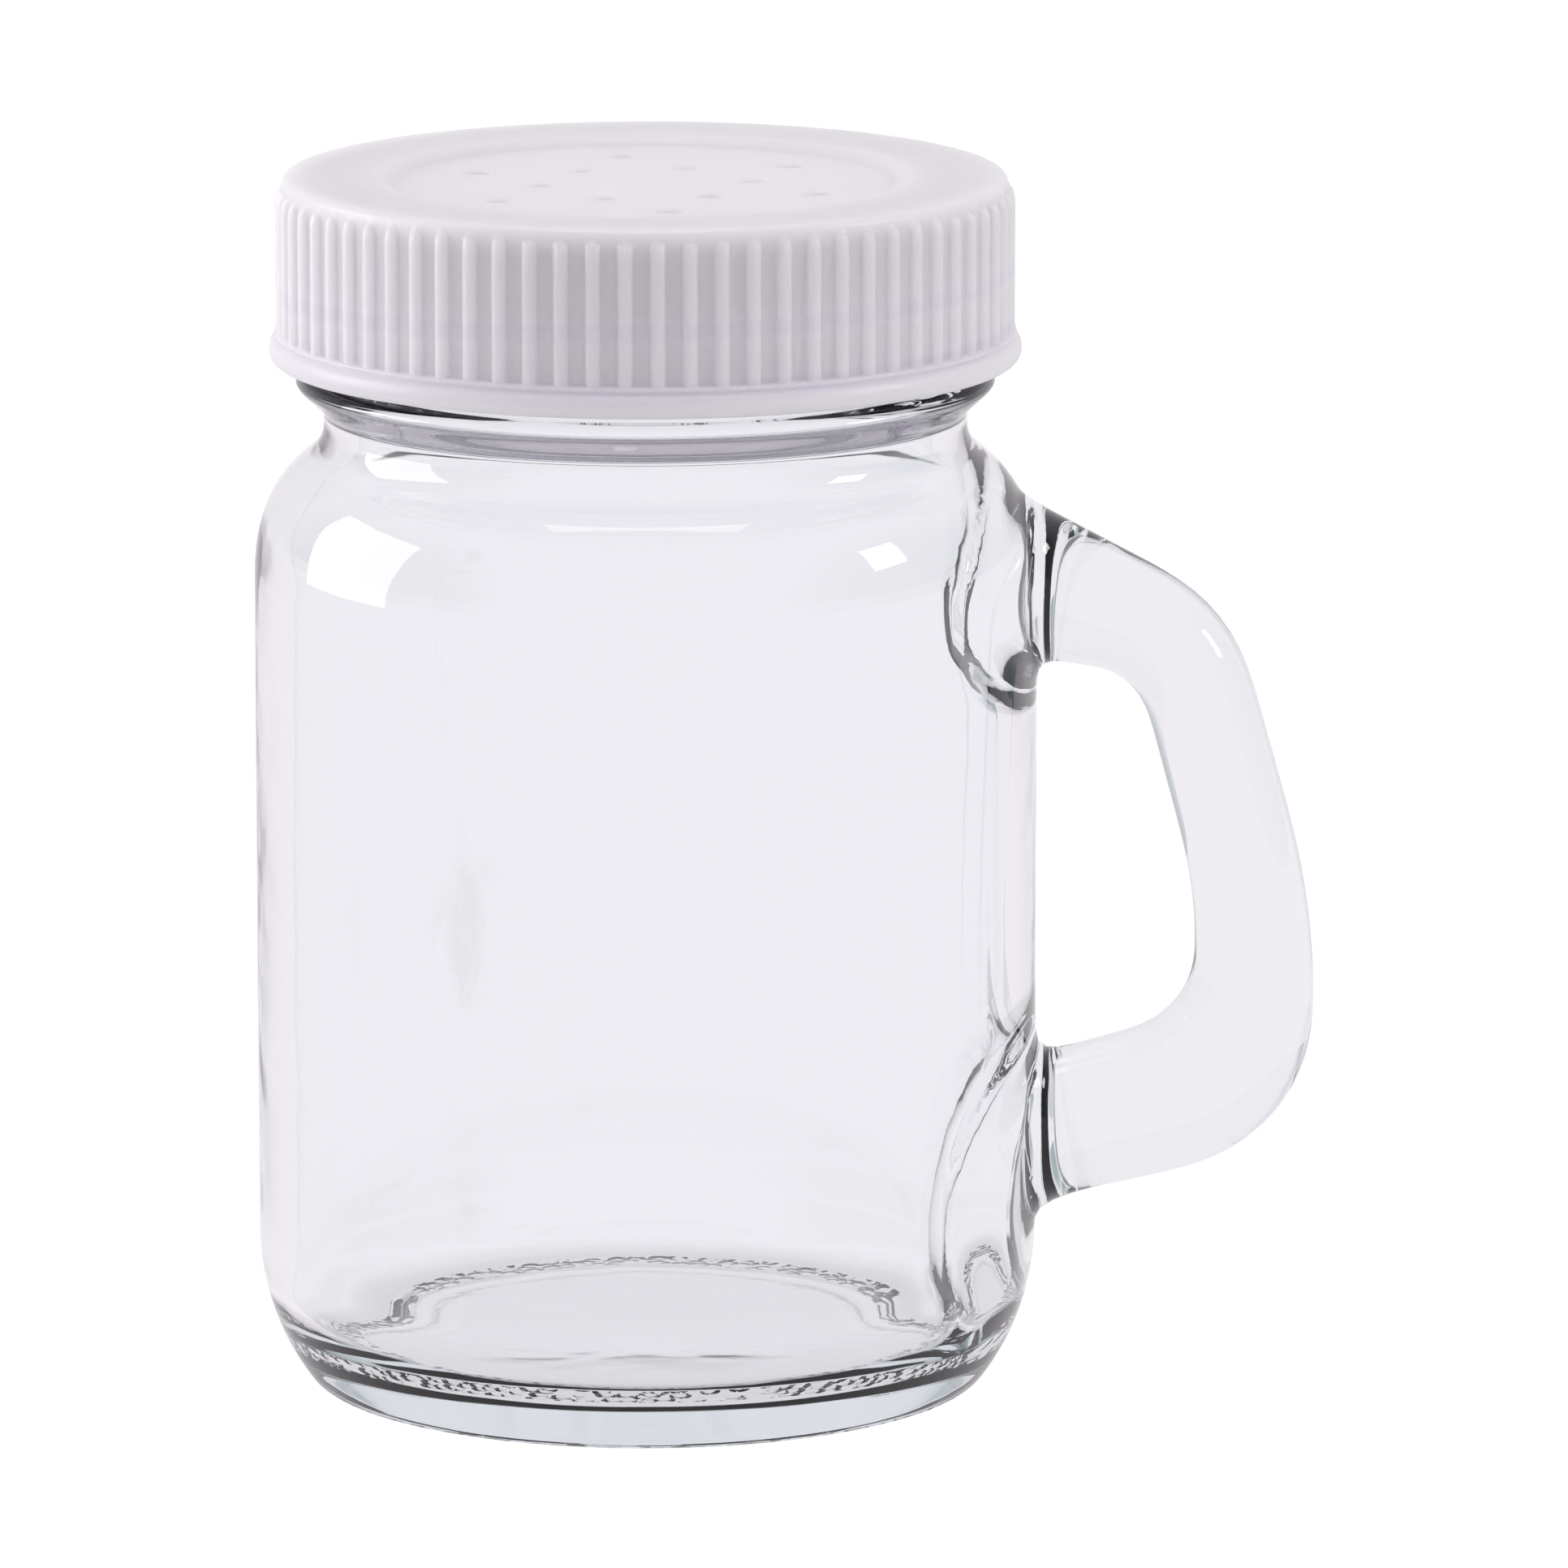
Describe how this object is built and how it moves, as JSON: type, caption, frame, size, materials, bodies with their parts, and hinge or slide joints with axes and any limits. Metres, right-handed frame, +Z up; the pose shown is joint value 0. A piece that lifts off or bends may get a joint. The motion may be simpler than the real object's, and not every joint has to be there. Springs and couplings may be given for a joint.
{
  "type": "salt shaker",
  "caption": "Small clear glass jar with a solid side handle and a white plastic screw-on shaker cap with a ribbed skirt and a recessed, pierced top.",
  "frame": {"origin": "on the jar's axis, in the plane that the jar stands on", "axes": "+Z up along the jar's axis, +X towards the handle"},
  "size_m": [0.0733, 0.054, 0.0843],
  "materials": {
    "clear_glass": "pressed clear glass, fire polished",
    "white_plastic": "moulded white polypropylene, satin, slightly translucent",
    "seal_rubber": "soft white foamed liner"
  },
  "bodies": {
    "jar": {"glass_jar": "clear_glass", "handle": "clear_glass"},
    "seal": {"cap_seal": "seal_rubber"},
    "cap": {"shaker_cap": "white_plastic"}
  },
  "joints": [
    {"name": "cap_lift", "type": "slide", "parent": "jar", "child": "seal", "axis": [0, 0, 1], "range_m": [0, 0.0127]},
    {"name": "cap_turn", "type": "hinge", "parent": "seal", "child": "cap", "pos_m": [0, 0, 0.083], "axis": [0, 0, 1], "range_deg": [0, 1080]}
  ],
  "couplings": [
    {"joint": "cap_lift", "follows": "cap_turn", "m_per_rad": 0.00067323}
  ]
}
